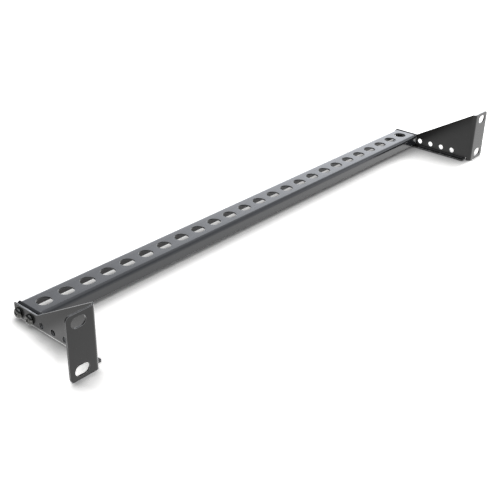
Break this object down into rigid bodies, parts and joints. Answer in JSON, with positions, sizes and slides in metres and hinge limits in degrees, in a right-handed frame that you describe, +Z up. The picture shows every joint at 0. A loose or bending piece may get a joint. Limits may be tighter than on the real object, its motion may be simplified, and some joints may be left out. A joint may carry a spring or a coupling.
{
  "type": "rack cable management panel",
  "caption": "Low cable lacing panel for an equipment rack: a perforated channel bar held behind two slotted ear brackets by screws.",
  "frame": {"origin": "centre of the four rack slots, on the rear faces of the ears that lie against the rack's posts", "axes": "+X along the bar, +Y away from the rack's front into the rack, +Z up"},
  "size_m": [0.4826, 0.0805, 0.0436],
  "materials": {
    "powder_coated_steel": "satin dark grey powder coat",
    "black_screw_steel": "gloss black plating"
  },
  "bodies": {
    "root": {"perforated_bar": "powder_coated_steel", "left_bracket": "powder_coated_steel", "right_bracket": "powder_coated_steel", "pan_head_screws": "black_screw_steel"}
  },
  "joints": []
}
